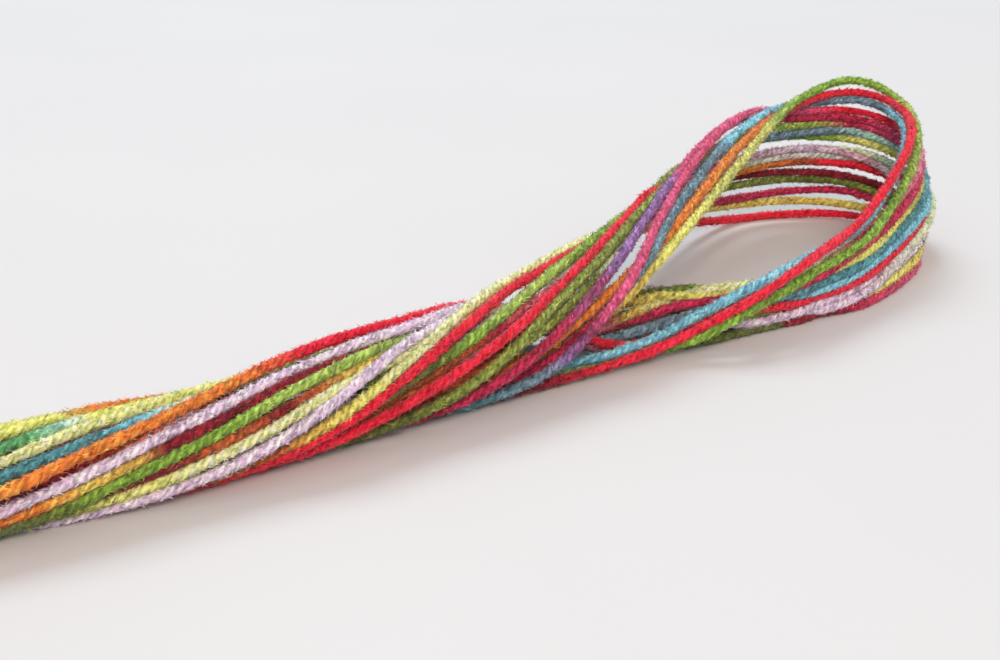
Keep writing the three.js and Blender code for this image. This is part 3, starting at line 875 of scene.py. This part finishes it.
def fibre_roots(vertices, outs, alongs, dyes_with_painted_shade, count, rng):
    """Random places on a strand's skin where fibres start, with their directions and their dyes with
    painted groove shade.
    """
    pick = rng.integers(0, len(vertices), size=count)
    slip = alongs[pick] * rng.uniform(0, RING_STEP, size=(len(pick), 1))
    return vertices[pick] + slip - outs[pick] * ROOT_DEPTH, outs[pick], alongs[pick], dyes_with_painted_shade[pick]


def build_strands(rng):
    """The turns of yarn. Gives back the roots of the nap and of the stray fibres."""
    look = yarn_material("yarn_strand", False)
    nap_roots = []
    stray_roots = []
    for turn, line, at in zip(HEIGHTS, *lay_strands()):
        dense, carried = closed_spline(line, at, STRAND_STEPS)
        fine, values = resample(dense, carried, RING_STEP)
        vertices, faces, colours, depth, outs, alongs = strand_mesh(turn, fine, values, rng)
        vertices[:, 2] = np.maximum(vertices[:, 2], LOWEST_SKIN)
        strand = new_object(f"turn_{turn:02d}", vertices - MIDDLE, faces, colours, depth)
        strand.data.materials.append(look)
        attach(strand, "root")
        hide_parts("skein")
        length = len(fine) * RING_STEP
        # Fibres rooted in a groove get painted shade, darker the deeper their root
        dyes_with_painted_shade = colours * (GROOVE_ROOT_PAINTED_SHADE + (1 - GROOVE_ROOT_PAINTED_SHADE) * depth)[:, None]
        for kept, density in ((nap_roots, NAP_PER_MM), (stray_roots, STRAYS_PER_MM)):
            kept.append(fibre_roots(vertices, outs, alongs, dyes_with_painted_shade, int(length * density), rng))
    return nap_roots, stray_roots


def build_skein():
    """All of the skein: its turns, then the stray fibres and the nap."""
    rng = np.random.default_rng(SEED)
    nap_roots, stray_roots = build_strands(rng)
    look = yarn_material("yarn_fibre", True)
    fibres = [("stray_fibres", stray_mesh, [np.vstack(part) for part in zip(*stray_roots)])]
    gathered = [np.vstack(part) for part in zip(*nap_roots)]
    count = len(gathered[0])
    for k in range(NAP_PIECES):
        low = count * k // NAP_PIECES
        high = count * (k + 1) // NAP_PIECES
        fibres.append((f"nap_{k + 1}", nap_mesh, [part[low:high] for part in gathered]))
    for name, build, parts in fibres:
        vertices, faces, colours = build(*parts, rng)
        vertices[:, 2] = np.maximum(vertices[:, 2], LOWEST_FIBRE)
        tuft = new_object(name, vertices - MIDDLE, faces, colours)
        tuft.data.materials.append(look)
        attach(tuft, "root")


def floor_material():
    """Plain pale surface with a faint grain."""
    material = bpy.data.materials.new("plain_surface")
    material.use_nodes = True
    nodes = material.node_tree.nodes
    links = material.node_tree.links
    shader = nodes["Principled BSDF"]
    shader.inputs["Roughness"].default_value = FLOOR_ROUGHNESS
    shader.inputs["Specular IOR Level"].default_value = FLOOR_SPECULAR
    place = nodes.new("ShaderNodeTexCoord")
    grain = nodes.new("ShaderNodeTexNoise")
    grain.inputs["Scale"].default_value = FLOOR_GRAIN_SCALE
    links.new(place.outputs["Object"], grain.inputs["Vector"])
    ramp = nodes.new("ShaderNodeValToRGB")
    for element, tone in zip(ramp.color_ramp.elements, FLOOR_TONES):
        element.color = tone
    links.new(grain.outputs["Fac"], ramp.inputs["Fac"])
    links.new(ramp.outputs["Color"], shader.inputs["Base Color"])
    return material


def build_stage():
    """The floor that the skein lies on."""
    bpy.ops.mesh.primitive_plane_add(size=FLOOR_SIZE, location=(0, 0, 0))
    floor = bpy.context.object
    floor.name = "floor"
    floor.data.materials.append(floor_material())


def area_light(name, place, size, power, colour):
    """Square lamp that looks at the skein."""
    data = bpy.data.lights.new(name, "AREA")
    data.size = size
    data.energy = power
    data.color = colour
    lamp = bpy.data.objects.new(name, data)
    bpy.context.scene.collection.objects.link(lamp)
    way = np.array(LAMP_TARGET, float) - np.array(place, float)
    azimuth = math.atan2(way[1], way[0]) - math.pi / 2
    tilt = math.atan2(math.hypot(way[0], way[1]), -way[2])
    lamp.location = place
    lamp.rotation_euler = (tilt, 0, azimuth)


def build_lights():
    """An even pale room, a wide lamp from behind and a warm one from the front."""
    world = bpy.data.worlds.new("studio")
    world.use_nodes = True
    background = world.node_tree.nodes["Background"]
    background.inputs["Color"].default_value = ROOM_COLOUR
    background.inputs["Strength"].default_value = ROOM_STRENGTH
    bpy.context.scene.world = world
    for lamp in LAMPS:
        area_light(*lamp)


def build_camera():
    """Camera in front of the bundle, looking down across it towards the loop."""
    data = bpy.data.cameras.new("camera")
    data.lens = CAMERA_LENS
    data.sensor_width = CAMERA_SENSOR
    data.clip_start = CAMERA_NEAREST
    camera = bpy.data.objects.new("camera", data)
    bpy.context.scene.collection.objects.link(camera)
    camera.location = (CAMERA_PLACE - MIDDLE) * MM
    camera.rotation_euler = (math.radians(90 - CAMERA_PITCH), 0, math.radians(-CAMERA_TURN))
    bpy.context.scene.camera = camera


bpy.context.scene.view_settings.view_transform = "Standard"
build_camera()
build_lights()
build_stage()
build_skein()
